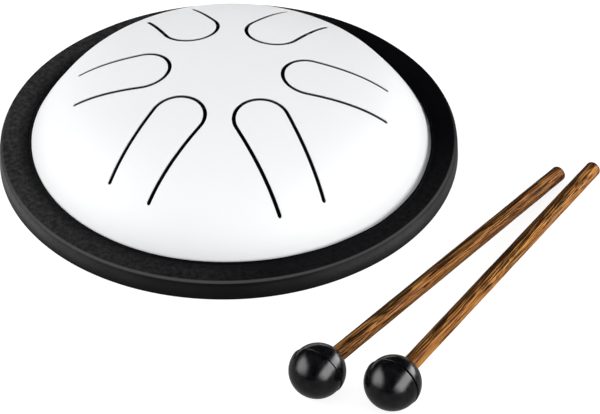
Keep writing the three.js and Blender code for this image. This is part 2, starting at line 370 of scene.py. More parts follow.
def make_cut(tongue):
    name, direction, skew, head_place, head_r, left_leg, right_leg, half_root = tongue
    head = np.array([head_place, 0.0])
    half = KERF / 2
    end_r = half * KERF_END
    neck, flare = math.sqrt(end_r * end_r - half * half), math.acos(half / end_r)
    line, inward = [], []

    def leg(side, reach):
        """End of a leg, direction towards it, direction away from the tongue."""
        end = np.array([reach, side * half_root])
        start = np.array([head_place, side * head_r])
        along = (end - start) / np.linalg.norm(end - start)
        return end, along, np.array([-along[1], along[0]]) * side

    def straight(start, end, normal, skip=1):
        count = max(2, int(round(np.linalg.norm(end - start) / 1.1)))
        for i in range(skip, count):
            line.append(start + (end - start) * i / count)
            inward.append(normal)

    def arc(centre, radius, start, end, step, sign=1.0):
        count = max(4, int(round(abs(end - start) / math.radians(step))))
        for i in range(count + 1):
            a = start + (end - start) * i / count
            outward = np.array([math.cos(a), math.sin(a)])
            line.append(centre + outward * radius)
            inward.append(outward * sign)

    def round_end(end, normal):
        base = math.atan2(normal[1], normal[0])
        arc(end, end_r, base - flare, base + math.pi + flare, step=15.0)

    left_end, left_along, left_out = leg(1, left_leg)
    right_end, right_along, right_out = leg(-1, right_leg)
    left_angle = math.atan2(left_out[1], left_out[0])
    right_angle = math.atan2(right_out[1], right_out[0]) + 2 * math.pi

    # the shell's side, from the left end round the head to the right end
    outer, inner = head_r + half, head_r - half
    straight(left_end + left_out * half - left_along * neck, head + left_out * outer,
             left_out, skip=0)
    arc(head, outer, left_angle, right_angle, step=3.0)
    straight(head + right_out * outer, right_end + right_out * half - right_along * neck,
             right_out)
    round_end(right_end, right_out)
    first = len(line) - 1
    # the tongue's side, back to the left end
    straight(right_end - right_out * half - right_along * neck, head + right_out * inner,
             -right_out)
    arc(head, inner, right_angle, left_angle, step=3.0, sign=-1.0)
    straight(head + left_out * inner, left_end - left_out * half - left_along * neck,
             -left_out)
    last = len(line)
    round_end(left_end, -left_out)
    line.pop()
    inward.pop()

    nudge = np.array(NUDGE.get(name, (0.0, 0.0)))

    def placed(points):
        return turned(turned(points - head, skew) + head, direction) + nudge

    return Cut(
        placed(np.array(line)), turned(turned(np.array(inward), skew), direction), first, last,
        placed((left_end + right_end)[None] / 2)[0],
        placed((head - np.array([head_r, 0]))[None])[0])


def inside(outline, points):
    x, y = points[:, 0], points[:, 1]
    hit = np.zeros(len(points), bool)
    for i, (x0, y0) in enumerate(outline):
        x1, y1 = outline[(i + 1) % len(outline)]
        crosses = (y0 > y) != (y1 > y)
        with np.errstate(divide="ignore", invalid="ignore"):
            hit ^= crosses & (x < (x1 - x0) * (y - y0) / (y1 - y0) + x0)
    return hit


RIM_COUNT = 384      # points round the flange's edge
ROOT_COUNT = 26      # edges along a tongue's root


def circle(radius, count, offset=0.0):
    angles = [2 * math.pi * (i + offset) / count for i in range(count)]
    return [(radius * math.cos(a), radius * math.sin(a)) for a in angles]


def station_grid():
    """Points that fill the sheet, ring by ring."""
    # even along the sheet, close together in the foot
    radii, r = [], 0.0
    while r < DOME_R - 0.3:
        r += 1.55 / math.hypot(1.0, float(dome_slope(r)))
        radii.append(min(r, DOME_R))
    radii += list(DOME_R + (FOOT_R - DOME_R) * np.linspace(0, 1, 9)[1:]) + [81.6]
    grid = [(0.0, 0.0)]
    for k, r in enumerate(radii):
        count = RIM_COUNT if r > 66 else max(8, int(round(2 * math.pi * r / 1.6)))
        grid += circle(r, count, offset=0.5 * (k % 2))
    return np.array(grid)


def sheet_plan(cuts):
    """Triangulates the sheet in plan.

    Returns the points, the triangles, each triangle's tongue (-1 for the shell), and the point
    numbers of each cut's upper edge and of each tongue's root.
    """
    plan, edges = [], []

    def add_loop(points):
        ids = list(range(len(plan), len(plan) + len(points)))
        plan.extend(map(tuple, points))
        edges.extend(zip(ids, ids[1:] + ids[:1]))
        return ids

    add_loop(circle(FLANGE_R, RIM_COUNT))
    outlines = [cut.line + cut.inward * CUT_ROUNDING for cut in cuts]
    tops, roots = [], []
    for cut, outline in zip(cuts, outlines):
        ids = add_loop(outline)
        tops.append(ids)
        a, b = np.array(plan[ids[cut.first]]), np.array(plan[ids[cut.last]])
        new = range(len(plan), len(plan) + ROOT_COUNT - 1)
        plan.extend(tuple(a + (b - a) * i / ROOT_COUNT) for i in range(1, ROOT_COUNT))
        chain = [ids[cut.first], *new, ids[cut.last]]
        edges.extend(zip(chain, chain[1:]))
        roots.append(chain)

    grid = station_grid()
    keep = np.ones(len(grid), bool)
    for outline in outlines:
        keep &= ~inside(outline, grid)
    nearest = np.full(len(grid), 9.0)
    for x, y in plan[RIM_COUNT:]:
        nearest = np.minimum(nearest, np.hypot(grid[:, 0] - x, grid[:, 1] - y))
    keep &= nearest > 0.62
    plan.extend(map(tuple, grid[keep]))

    _, _, found, origin, _, _ = delaunay_2d_cdt([Vector(p) for p in plan], edges, [], 0, 1e-7)
    triangles = np.array([[origin[i][0] for i in f] for f in found])
    xy = np.array(plan)
    centres = xy[triangles].mean(1)
    drop = np.zeros(len(triangles), bool)
    owner = np.full(len(triangles), -1)
    for j, (cut, outline) in enumerate(zip(cuts, outlines)):
        drop |= inside(outline, centres)
        owner[inside(outline[cut.first:cut.last + 1], centres)] = j
    triangles, owner = triangles[~drop], owner[~drop]
    a = xy[triangles[:, 1]] - xy[triangles[:, 0]]
    b = xy[triangles[:, 2]] - xy[triangles[:, 0]]
    clockwise = a[:, 0] * b[:, 1] - a[:, 1] * b[:, 0] < 0
    triangles[clockwise] = triangles[clockwise][:, ::-1]
    return xy, triangles, owner, tops, roots


# the inner faces' near-black finish is painted shade inside the drum
ENAMEL, SHADE_INSIDE, SAWN = 0, 1, 2      # finishes, as material indices

# rows down a cut's wall: (offset into the metal, depth, tilt of the normal from the face's)
ROUNDED_ROWS = [(CUT_ROUNDING * (1 - math.sin(a)), CUT_ROUNDING * (1 - math.cos(a)), a)
                for a in np.linspace(0, math.pi / 2, 5)[1:]]
WALL_ROWS = ROUNDED_ROWS + [
    (0.0, COATED, math.pi / 2),
    (0.0, SHEET - CUT_BEVEL, math.pi / 2),
    (CUT_BEVEL, SHEET, 2.6),
]
COATED_BANDS = len(ROUNDED_ROWS) + 1


def dome_parts(cuts):
    """Shell and tongues, each as points, faces, normals and the faces' finishes."""
    xy, triangles, owner, tops, roots = sheet_plan(cuts)
    under = len(xy)               # a point's partner on the inner face is numbered this much on
    outer_face, normals = sheet_point(xy)
    inner_face, _ = sheet_point(xy, SHEET)
    points, point_normals = [outer_face, inner_face], [normals, -normals]
    count = 2 * under
    faces = [[] for _ in range(len(cuts) + 1)]      # shell first, then the tongues
    for (a, b, c), who in zip(triangles, owner):
        faces[who + 1].append((ENAMEL, (a, b, c)))
        # inner face: near-black, painted shade inside the drum
        faces[who + 1].append((SHADE_INSIDE, (c + under, b + under, a + under)))
    # outer edge of the flange
    for a in range(RIM_COUNT):
        b = (a + 1) % RIM_COUNT
        faces[0].append((ENAMEL, (b, a, a + under, b + under)))

    for j, (cut, top, chain) in enumerate(zip(cuts, tops, roots)):
        shell, tongue = faces[0], faces[j + 1]
        n = len(top)
        rows = [top]
        inward = np.concatenate([cut.inward, np.zeros((n, 1))], 1)
        for offset, depth, tilt in WALL_ROWS:
            place, normal = sheet_point(cut.line + cut.inward * offset, depth)
            side = inward - normal * (inward * normal).sum(1)[:, None]
            side /= np.linalg.norm(side, axis=1)[:, None]
            points.append(place)
            point_normals.append(normal * math.cos(tilt) - side * math.sin(tilt))
            rows.append(list(range(count, count + n)))
            count += n
        rows.append([i + under for i in top])
        for k, (a, b) in enumerate(zip(rows, rows[1:])):
            finish = ENAMEL if k < COATED_BANDS else SAWN
            for i in range(n):
                i2 = (i + 1) % n
                part = tongue if cut.first <= i < cut.last else shell
                part.append((finish, (a[i2], a[i], b[i], b[i2])))
        # hidden closing faces where the tongue's root meets the shell
        for a, b in zip(chain, chain[1:]):
            quad = (b, a, a + under, b + under)
            tongue.append((SAWN, quad[::-1]))
            shell.append((SAWN, quad))
        for end, step in ((cut.first, -1), (cut.last, 1)):
            cap = tuple(row[end] for row in rows)[::step]
            tongue.append((SAWN, cap))
            shell.append((SAWN, cap[::-1]))

    points, point_normals = np.concatenate(points), np.concatenate(point_normals)
    parts = []
    for group in faces:
        used = sorted({i for _, f in group for i in f})
        number = {v: i for i, v in enumerate(used)}
        part_faces = [tuple(number[i] for i in f) for _, f in group]
        parts.append((points[used], part_faces, point_normals[used], [k for k, _ in group]))
    return parts


def build_dome(white, inside_shade, sawn):
    cuts = [make_cut(t) for t in TONGUES]
    pieces = [("dome_shell", "top_shell", None)]
    pieces += [(f"dome_{t[0]}", t[0], cut) for t, cut in zip(TONGUES, cuts)]
    for (name, node, cut), (points, faces, normals, finish) in zip(pieces, dome_parts(cuts)):
        ob = new_object(name, on_axis(drawn_in(points)), faces)
        give(ob, white, inside_shade, sawn)
        ob.data.polygons.foreach_set("material_index", finish)
        face_outward(ob)
        ob.data.normals_split_custom_set_from_vertices([tuple(n) for n in normals])
        if cut is None:
            register(ob, node, "drum")
            continue
        register(ob, node)
        # the tongue is one sheet with the shell; points near its root and part way along it are
        # worked out but not used
        bend = np.array([cut.root + (cut.tip - cut.root) * f for f in (0.03, 0.62)])
        ends = on_axis(sheet_point(bend, SHEET / 2)[0]) * MM
        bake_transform(ob)


# --------------------------------------------------------------------------
# Base pan, flange strip and rim ring
# --------------------------------------------------------------------------
def midpoints_added(profile):
    """Doubles the points of a closed profile along a smooth curve through them."""
    points = [np.array(p, float) for p in profile]
    n = len(points)
    out = []
    for i in range(n):
        a, b, c, d = (points[(i + k) % n] for k in (-1, 0, 1, 2))
        out.append(tuple(b))
        out.append(tuple((-a + 9 * b + 9 * c - d) / 16))
    return out


def build_pan(white, inside_shade):
    verts, faces = spun(midpoints_added(PAN_UNDERSIDE + PAN_UPPER_SIDE), 288)
    pan = new_object("base_pan_sheet", on_axis(verts), faces)
    give(pan, white, inside_shade)
    # the upper side and the port's collar above the flange are near-black, painted shade inside the
    # drum
    for p in pan.data.polygons:
        upper = p.normal.z > 0.25 or p.center.z > 0.0061
        p.material_index = 1 if upper and p.center.z > 0.0027 else 0
    register(pan, "base_pan", "drum")


def build_strip(foam):
    verts, faces = spun(rounded(STRIP_CORNERS, 4), 240)
    strip = new_object("flange_strip", on_axis(verts), faces)
    give(strip, foam)
    register(strip, "flange_gasket", "drum")


def ring_warp(verts):
    """The lip follows the steel and stands off it at the front right; the outside does not."""
    v = np.array(verts, float)
    for p in v:
        r = math.hypot(p[0], p[1])
        a = math.atan2(p[1], p[0])
        # 1 on the lip, fading to 0 at the ring's middle and low down
        hold = smoothstep(clamp01((84.0 - r) / (84.0 - 78.6)) * clamp01((p[2] - 5.0) / 0.8))
        gap = eased(LIP_GAP, math.degrees(a)) * hold
        stray = eased(RING_STRAY, math.degrees(a)) if r > 86 else 0
        if p[2] > 5.6:
            if r > 80:
                p[2] -= 0.18 * max(math.sin(a), 0.0)
            # where the lip is drawn inward it rides up the steel
            p[2] += max(-gap, 0.0) * 0.45 * clamp01((81.0 - r) / 3.0)
        p[0] += math.cos(a) * (gap + stray) + LIP_SHIFT[0] * hold
        p[1] += math.sin(a) * (gap + stray) + LIP_SHIFT[1] * hold
    return v


def build_ring(rubber):
    verts, faces = spun(rounded(RING_CORNERS, 7), 420)
    ring = new_object("rim_ring_rubber", on_axis(ring_warp(verts), shift=(0, 0)), faces)
    mark_sharp(ring, 50)
    give(ring, rubber)
    register(ring, "rim_ring", "drum")


# --------------------------------------------------------------------------
# Mallets.  Local +X runs from the ball's centre along the stick.
# --------------------------------------------------------------------------
def subtract(ob, tool):
    cutter = ob.modifiers.new("cut", "BOOLEAN")
    cutter.operation = "DIFFERENCE"
    cutter.solver = "EXACT"
    cutter.object = tool
    depsgraph = bpy.context.evaluated_depsgraph_get()
    mesh = bpy.data.meshes.new_from_object(ob.evaluated_get(depsgraph))
    ob.modifiers.clear()
    old = ob.data
    ob.data = mesh
    bpy.data.meshes.remove(old)
    bpy.data.objects.remove(tool)


def ball_profile(gap):
    """(radius, place along the axis): two half balls with a groove between them."""
    seam = math.radians(1.6)      # angle left open beside the seam
    edge_r = 0.14                 # rounding of each half's edge
    ease = 0.024                  # angle the edge's rounding takes up
    stick_side_ease = 0.042
    profile = []
    for i in range(45):
        a = -math.pi / 2 + (math.pi / 2 - seam - ease) * i / 44
        profile.append((BALL_R * math.cos(a), BALL_R * math.sin(a)))
    for k in range(6):
        a = math.pi / 2 * k / 5
        profile.append((BALL_R - 0.01 - edge_r * (1 - math.cos(a)),
                        -gap - edge_r * (1 - math.sin(a))))
    profile += [(BALL_R - 0.55, -gap + 0.02), (BALL_R - 0.62, -gap * 0.4),
                (BALL_R - 0.55, gap * 0.4)]
    for k in range(6):
        a = math.pi / 2 * (1 - k / 5)
        profile.append((BALL_STICK_SIDE_R - 0.01 - edge_r * (1 - math.cos(a)),
                        gap * 0.5 + edge_r * (1 - math.sin(a))))
    for i in range(43):
        a = stick_side_ease + (math.pi / 2 - stick_side_ease) * i / 42
        profile.append((BALL_STICK_SIDE_R * math.cos(a), BALL_STICK_SIDE_R * math.sin(a)))
    profile[0] = (0.0, profile[0][1])
    profile[-1] = (0.0, BALL_STICK_SIDE_R)
    return profile


def build_ball(name, turn, lean, gap):
    """Two moulded halves that meet slightly out of line."""
    verts, faces = spun_along_x(ball_profile(gap), 160)
    # the halves slip along Y, all but the bottom of the groove
    depth = np.hypot(verts[:, 1], verts[:, 2])
    lateral = np.clip((0.0 - verts[:, 0]) * 20, -1, 1)
    in_groove = (np.abs(verts[:, 0]) < 0.15) & (depth < BALL_STICK_SIDE_R - 0.3) & (depth > 6)
    verts[:, 1] += BALL_SLIP * np.where(in_groove, 0, lateral)
    # the mould line turns about Z, then leans about Y
    c, s = math.cos(math.radians(turn)), math.sin(math.radians(turn))
    verts = verts @ np.array([[c, s, 0], [-s, c, 0], [0, 0, 1]])
    c, s = math.cos(math.radians(lean)), math.sin(math.radians(lean))
    verts = verts @ np.array([[c, 0, s], [0, 1, 0], [-s, 0, c]])
    ob = new_object(name, verts, faces)
    # the stick's hole opens out at its mouth
    bore, mouth = STICK_R + 0.06, STICK_R + 0.35
    hole = rounded([(0, -1.5, 0), (bore, -1.5, 0.3), (bore, 8.6, 0.0), (mouth, 9.6, 0.0),
                    (mouth, 14, 0), (0, 14, 0)], 4)
    subtract(ob, new_object("tool", *spun_along_x(hole, 72)))
    shade_smooth(ob.data)
    mark_sharp(ob, 48)
    return ob


def build_stick(name, seed):
    start, end, tip_r = STICK_START, STICK_END, 0.62
    profile = [(0.0, start), (STICK_R - 0.3, start), (STICK_R - 0.08, start + 0.08),
               (STICK_R, start + 0.3)]
    profile += [(STICK_R, x) for x in np.linspace(start + 1.0, end - 1.0, 150)]
    for i in range(8):
        a = math.pi / 2 * i / 7
        profile.append((STICK_R - tip_r * (1 - math.cos(a)), end - tip_r + tip_r * math.sin(a)))
    profile += [(r, end) for r in (1.9, 1.3, 0.7, 0.0)]
    phase = np.random.RandomState(40 + seed).uniform(0, 6.28, 6)

    def wobble(r, x, a):
        """A turned dowel is never quite true."""
        if r < 1.0:
            return r, x
        waves = (0.018 * math.sin(x * 0.21 + phase[0] + 2 * a)
                 + 0.012 * math.sin(x * 0.53 + phase[1] + 3 * a)
                 + 0.008 * math.sin(x * 1.3 + phase[2] - 5 * a))
        return r + waves - 0.03, x

    ob = new_object(name, *spun_along_x(profile, 72, wobble=wobble))
    mark_sharp(ob, 55)
    return ob


def build_mallets(ball_material):
    droop = math.asin((BALL_R - STICK_R) / STICK_END)     # the stick's far end rests on the floor
    for seed, (name, x, y, heading, turn, lean, gap) in enumerate(MALLETS, start=1):
        place = (Matrix.Translation((x * MM + AXIS_X, y * MM + AXIS_Y, BALL_R * MM))
                 @ Matrix.Rotation(math.radians(heading), 4, "Z")
                 @ Matrix.Rotation(droop, 4, "Y"))
        ball = build_ball(f"{name}_ball", turn, lean, gap)
        stick = build_stick(f"{name}_dowel", seed)
        give(ball, ball_material)
        give(stick, wood(f"stick_wood_{seed}", seed))
        for ob, node, slot in ((ball, f"{name}_head", "ball_rubber"),
                               (stick, f"{name}_stick", "stick_wood")):
            ob.matrix_world = place
            register(ob, node, name)


# --------------------------------------------------------------------------
# Shader helpers
# --------------------------------------------------------------------------
class Nodes:
    """Builds a node tree.  Any input takes a plain value or another node's output."""

    def __init__(self, tree):
        self.tree = tree
        tree.nodes.clear()

    def new(self, kind, **props):
        node = self.tree.nodes.new(kind)
        for key, value in props.items():
            setattr(node, key, value)
        return node

    def feed(self, socket, value):
        if isinstance(value, bpy.types.NodeSocket):
            self.tree.links.new(value, socket)
        elif socket.type == "RGBA":
            socket.default_value = (*value, 1)
        else:
            socket.default_value = value

    def set(self, node, **values):
        for key, value in values.items():
            self.feed(node.inputs[key.replace("_", " ")], value)

    def object_coords(self):
        return self.new("ShaderNodeTexCoord").outputs["Object"]

    def mapped(self, vector, scale=(1, 1, 1), location=(0, 0, 0)):
        node = self.new("ShaderNodeMapping")
        self.set(node, Vector=vector, Scale=scale, Location=location)
        return node.outputs["Vector"]

    def coords(self, **mapping):
        return self.mapped(self.object_coords(), **mapping)

    def axes(self, vector):
        node = self.new("ShaderNodeSeparateXYZ")
        self.feed(node.inputs[0], vector)
        return node.outputs

    def noise(self, vector, scale, detail=2.0, rough=0.5, output="Fac"):
        node = self.new("ShaderNodeTexNoise")
        self.set(node, Vector=vector, Scale=scale, Detail=detail, Roughness=rough)
        return node.outputs[output]

    def ramp(self, fac, stops, mode="LINEAR"):
        """Colour ramp through (position, colour or grey)."""
        node = self.new("ShaderNodeValToRGB")
        node.color_ramp.interpolation = mode
        elements = node.color_ramp.elements
        while len(elements) > 1:
            elements.remove(elements[-1])
        for i, (position, colour) in enumerate(stops):
            if i:
                element = elements.new(position)
            else:
                element = elements[0]
                element.position = position
            element.color = (*colour, 1) if isinstance(colour, tuple) else (*[colour] * 3, 1)
        self.set(node, Fac=fac)
        return node.outputs["Color"]

    def math(self, operation, *values, clamp=False):
        node = self.new("ShaderNodeMath", operation=operation, use_clamp=clamp)
        for socket, value in zip(node.inputs, values):
            self.feed(socket, value)
        return node.outputs[0]

    def add(self, a, b):
        return self.math("ADD", a, b)

    def sub(self, a, b):
        return self.math("SUBTRACT", a, b)

    def mul(self, a, b, clamp=False):
        return self.math("MULTIPLY", a, b, clamp=clamp)

    def vector_math(self, operation, *values, output="Vector"):
        node = self.new("ShaderNodeVectorMath", operation=operation)
        for socket, value in zip(node.inputs, values):
            self.feed(socket, value)
        return node.outputs[output]

    def dot(self, a, b):
        return self.vector_math("DOT_PRODUCT", a, b, output="Value")

    def mix(self, fac, a, b):
        node = self.new("ShaderNodeMix", data_type="RGBA", blend_type="MIX")
        for i, value in ((0, fac), (6, a), (7, b)):
            self.feed(node.inputs[i], value)
        return node.outputs[2]

    def remap(self, value, span, to=(0.0, 1.0), mode="LINEAR"):
        """Carries the range `span` over to the range `to`, clamped."""
        node = self.new("ShaderNodeMapRange", clamp=True, interpolation_type=mode)
        self.set(node, Value=value, From_Min=span[0], From_Max=span[1],
                 To_Min=to[0], To_Max=to[1])
        return node.outputs["Result"]

    def bump(self, height, strength, distance, normal=None):
        node = self.new("ShaderNodeBump")
        self.set(node, Strength=strength, Distance=distance, Height=height)
        if normal is not None:
            self.set(node, Normal=normal)
        return node.outputs["Normal"]


class Material(Nodes):
    def __init__(self, name):
        self.mat = bpy.data.materials.new(name)
        self.mat.use_nodes = True
        super().__init__(self.mat.node_tree)
        out = self.new("ShaderNodeOutputMaterial")
        self.bsdf = self.new("ShaderNodeBsdfPrincipled")
        self.set(out, Surface=self.bsdf.outputs[0])

    def surface(self, **values):
        self.set(self.bsdf, **values)


# --------------------------------------------------------------------------
# Materials
# --------------------------------------------------------------------------
def enamel(name):
    """White powder coat: faint orange peel, slight differences of tone, a few grey specks."""
    m = Material(name)
    v = m.coords()
    broad = m.noise(v, scale=14.0)
    fine = m.noise(v, scale=900.0, rough=0.6)
    peel = m.noise(v, scale=420.0, detail=1.5)
    color = m.ramp(broad, [(0.3, (0.775, 0.783, 0.795)), (0.7, (0.800, 0.806, 0.813))])
    speck = m.remap(m.noise(v, scale=2400.0, detail=1.0), span=(0.70, 0.76))
    color = m.mix(m.mul(speck, 0.10), color, (0.60, 0.60, 0.61))
    normal = m.bump(peel, strength=0.12, distance=0.00025)
    normal = m.bump(fine, strength=0.06, distance=0.0001, normal=normal)
    m.surface(Base_Color=color, Roughness=m.remap(fine, span=(0.3, 0.7), to=(0.44, 0.54)),
              Normal=normal, IOR=1.34)
    return m.mat


def dark_steel(name, tone):
    """Dark steel with faint rolling marks: unpainted on the cuts' lower walls, painted shade on the
    drum's inside.
    """
    m = Material(name)
    marks = m.noise(m.coords(scale=(90.0, 700.0, 700.0)), scale=1.0, detail=3.0, rough=0.6)
    color = m.ramp(marks, [(0.3, (tone * 0.7, tone * 0.7, tone * 0.72)),
                           (0.7, (tone * 1.2, tone * 1.2, tone * 1.22))])
    m.surface(Base_Color=color, Roughness=m.remap(marks, span=(0.3, 0.7), to=(0.6, 0.75)),
              Normal=m.bump(marks, strength=0.2, distance=0.0001), Specular_IOR_Level=0.2)
    return m.mat


def ring_rubber(name):
    """Matt moulded rubber with a dusty bloom, plus painted shade near the steel and painted light
    at the left.
    """
    m = Material(name)
    v = m.coords()
    x, y, height = m.axes(m.object_coords())
    dx = m.sub(x, AXIS_X)
    dy = m.sub(y, AXIS_Y)
    radius = m.math("SQRT", m.add(m.mul(dx, dx), m.mul(dy, dy)))
    grain = m.noise(v, scale=2600.0, detail=3.0, rough=0.65)
    mottle = m.noise(v, scale=520.0, detail=4.0, rough=0.7)
    broad = m.noise(v, scale=30.0)

    # dusty bloom on the top, with painted light: it falls off towards +X and keeps a least value at
    # the front; painted shade weakens it near the steel
    inner = m.remap(radius, span=(0.0775, 0.0825), to=(0.25, 1.0))
    fall_x, fall_y, level = 0.74 / 0.086, 0.09 / 0.086, 0.44
    side = m.sub(level, m.sub(m.mul(dx, fall_x), m.mul(dy, fall_y)))
    side = m.math("MAXIMUM", side, m.remap(dy, span=(-0.055, 0.0), to=(0.24, 0.03)))
    dust_and_painted_light = m.mul(m.mul(inner, side), m.remap(broad, span=(0.3, 0.7), to=(0.80, 1.15)))
    dust_and_painted_light = m.mul(dust_and_painted_light, m.remap(mottle, span=(0.35, 0.66), to=(0.45, 1.6)))
    top_tone = m.mix(m.mul(dust_and_painted_light, 0.55, clamp=True),
                     (0.0016, 0.0016, 0.0022), (0.0390, 0.0390, 0.0405))

    # outer wall: painted light and shade, greys from left to right, and painted shade darkening it
    # at the foot
    wall_painted_light = m.ramp(
        m.remap(dx, span=(-0.088, 0.088)),
        [(0.0, 0.062), (0.08, 0.050), (0.15, 0.028), (0.25, 0.014), (0.36, 0.006),
         (0.5, 0.0025), (0.62, 0.007), (0.75, 0.024), (0.88, 0.038), (0.95, 0.018),
         (1.0, 0.005)], mode="EASE")
    # painted shade: the wall darkens towards the floor
    foot = m.remap(height, span=(0.0006, 0.0046), to=(0.05, 1.0))
    streaks = m.noise(m.coords(scale=(1, 1, 4)), scale=420.0, detail=3.0, rough=0.6)
    streaks = m.remap(streaks, span=(0.35, 0.65), to=(0.72, 1.22))
    wall_painted_light = m.mix(m.mul(foot, streaks), (0.0006, 0.0006, 0.0008), wall_painted_light)
    color = m.mix(m.remap(height, span=(0.0066, 0.0072)), wall_painted_light, top_tone)

    # painted highlight: the outer top corner is paler, most of all at the front
    corner = m.mul(m.remap(radius, span=(0.0872, 0.0876)), m.remap(height, span=(0.0068, 0.0072)))
    corner = m.mul(corner, m.remap(dy, span=(0.02, -0.04), to=(0.15, 1.0)))
    color = m.mix(m.mul(corner, 0.60), color, (0.082, 0.082, 0.085))
    normal = m.bump(grain, strength=0.30, distance=0.00012)
    normal = m.bump(mottle, strength=0.16, distance=0.0003, normal=normal)
    m.surface(Base_Color=color, Roughness=m.remap(grain, span=(0.25, 0.75), to=(0.36, 0.48)),
              Normal=normal, IOR=1.25,
              Specular_IOR_Level=m.remap(height, span=(0.0055, 0.0070), to=(0.42, 0.03)))
    return m.mat


def ball_rubber(name):
    """Moulded black rubber with a soft shine."""
    m = Material(name)
    v = m.coords()
    grain = m.noise(v, scale=1500.0, detail=3.0, rough=0.6)
    mottle = m.noise(v, scale=420.0, detail=4.0, rough=0.65)
    color = m.ramp(mottle, [(0.35, (0.0003, 0.0003, 0.0008)), (0.65, (0.0052, 0.0052, 0.0062))])
    normal = m.bump(grain, strength=0.20, distance=0.00006)
    normal = m.bump(mottle, strength=0.12, distance=0.0003, normal=normal)
    m.surface(Base_Color=color, Roughness=m.remap(mottle, span=(0.3, 0.7), to=(0.15, 0.24)),
              Normal=normal, IOR=1.36)
    return m.mat


def gasket_foam(name):
    m = Material(name)
    voronoi = m.new("ShaderNodeTexVoronoi")
    m.set(voronoi, Vector=m.coords(), Scale=1800.0)
    cells = voronoi.outputs["Distance"]
    color = m.ramp(cells, [(0.0, (0.015, 0.015, 0.015)), (0.6, (0.06, 0.06, 0.062))])
    m.surface(Base_Color=color, Roughness=0.9,
              Normal=m.bump(cells, strength=0.5, distance=0.0002))
    return m.mat


# by seed: the grain's lean along Y and Z, the level below which vessels show black, and how
# dark the painted shade on the stick's light side gets
WOOD_CUTS = {1: (0.030, -0.018, 0.466, 0.85), 2: (-0.022, 0.026, 0.450, 0.42)}


def wood(name, seed):
    """Oiled dowel of a dark-streaked tropical wood, with painted shade along both sides.  The stick
    lies along local X.
    """
    lean_y, lean_z, black_level, light_side_edge_shade = WOOD_CUTS[seed]
    m = Material(name)
    x, y, z = m.axes(m.object_coords())
    # the grain runs out of the stick at a small angle and wanders slowly
    wander = m.axes(m.noise(
        m.coords(scale=(8.0, 30.0, 30.0), location=(seed * 3.1, 0.4, 0.9)),
        scale=1.0, detail=1.5, output="Color"))
    warped = m.new("ShaderNodeCombineXYZ")
    m.set(warped, X=x)
    for key, across, lean, drift in (("Y", y, lean_y, wander[0]), ("Z", z, lean_z, wander[1])):
        bend = m.mul(m.sub(drift, 0.5), 0.0026)
        m.set(warped, **{key: m.add(across, m.add(bend, m.mul(x, lean)))})

    def grain(along, across, detail, rough, shift):
        location = (shift + seed * 7.3, shift * 0.37, shift * 0.61 + seed)
        v = m.mapped(warped.outputs[0], scale=(along, across, across), location=location)
        return m.noise(v, scale=1.0, detail=detail, rough=rough)

    # bands a few millimetres wide, growth lines, long dark vessels, hair-fine vessels
    tone = grain(along=6.0, across=360.0, detail=2.0, rough=0.5, shift=1.3)
    band = grain(along=8.0, across=1200.0, detail=2.0, rough=0.5, shift=4.9)
    streak = grain(along=8.5, across=2100.0, detail=1.6, rough=0.55, shift=8.2)
    fine = grain(along=12.0, across=3200.0, detail=1.5, rough=0.6, shift=12.7)

    gold, brown, plum = (0.530, 0.228, 0.044), (0.290, 0.105, 0.018), (0.300, 0.112, 0.050)
    dark, black = (0.026, 0.010, 0.004), (0.0065, 0.0035, 0.0018)
    color = m.mix(m.remap(tone, span=(0.42, 0.60)), plum, gold)
    color = m.mix(m.remap(band, span=(0.56, 0.42), to=(0.0, 0.85)), color, brown)
    color = m.mix(m.remap(fine, span=(0.53, 0.62), to=(0.0, 0.60)), color, (0.660, 0.330, 0.095))
    # painted shade: one side of the stick is darkened, and there the dark vessels crowd
    side = m.add(m.mul(y, 0.79 / 0.003), m.mul(z, 0.61 / 0.003))
    ragged = m.add(side, m.mul(m.sub(tone, 0.5), 2.4))
    shade_side_crowd = m.remap(ragged, span=(-0.70, 0.95), to=(-0.050, 0.125))
    vessels = m.remap(m.sub(streak, shade_side_crowd), span=(black_level, black_level - 0.030),
                      to=(0.0, 0.97))
    color = m.mix(vessels, color, black)
    vessels = m.remap(m.sub(fine, m.mul(shade_side_crowd, 0.6)), span=(0.468, 0.420), to=(0.0, 0.90))
    color = m.mix(vessels, color, dark)
    # more painted shade on that side
    color = m.mix(m.remap(side, span=(0.0, 0.9), to=(0.0, 0.42)), color, (0.020, 0.0085, 0.0035))
    hair = grain(along=10.0, across=2700.0, detail=1.5, rough=0.6, shift=21.3)
    color = m.mix(m.remap(hair, span=(0.57, 0.64), to=(0.0, 0.62)), color, (0.330, 0.140, 0.030))
    # painted shade along the edge of the stick's light side
    color = m.mix(m.remap(side, span=(-0.10, -1.0), to=(0.0, light_side_edge_shade)), color,
                  (0.034, 0.012, 0.004))
    # the far end is darkened by oil
    tip = m.remap(x, span=(0.1462, 0.1481), to=(0.0, 0.65))
    color = m.mix(tip, color, (0.075, 0.026, 0.010))
    normal = m.bump(fine, strength=0.30, distance=0.00008)
    normal = m.bump(streak, strength=0.25, distance=0.00012, normal=normal)
    m.surface(Base_Color=color, Roughness=m.remap(fine, span=(0.3, 0.7), to=(0.50, 0.38)),
              Normal=normal, IOR=1.22, Specular_IOR_Level=0.15)
    return m.mat


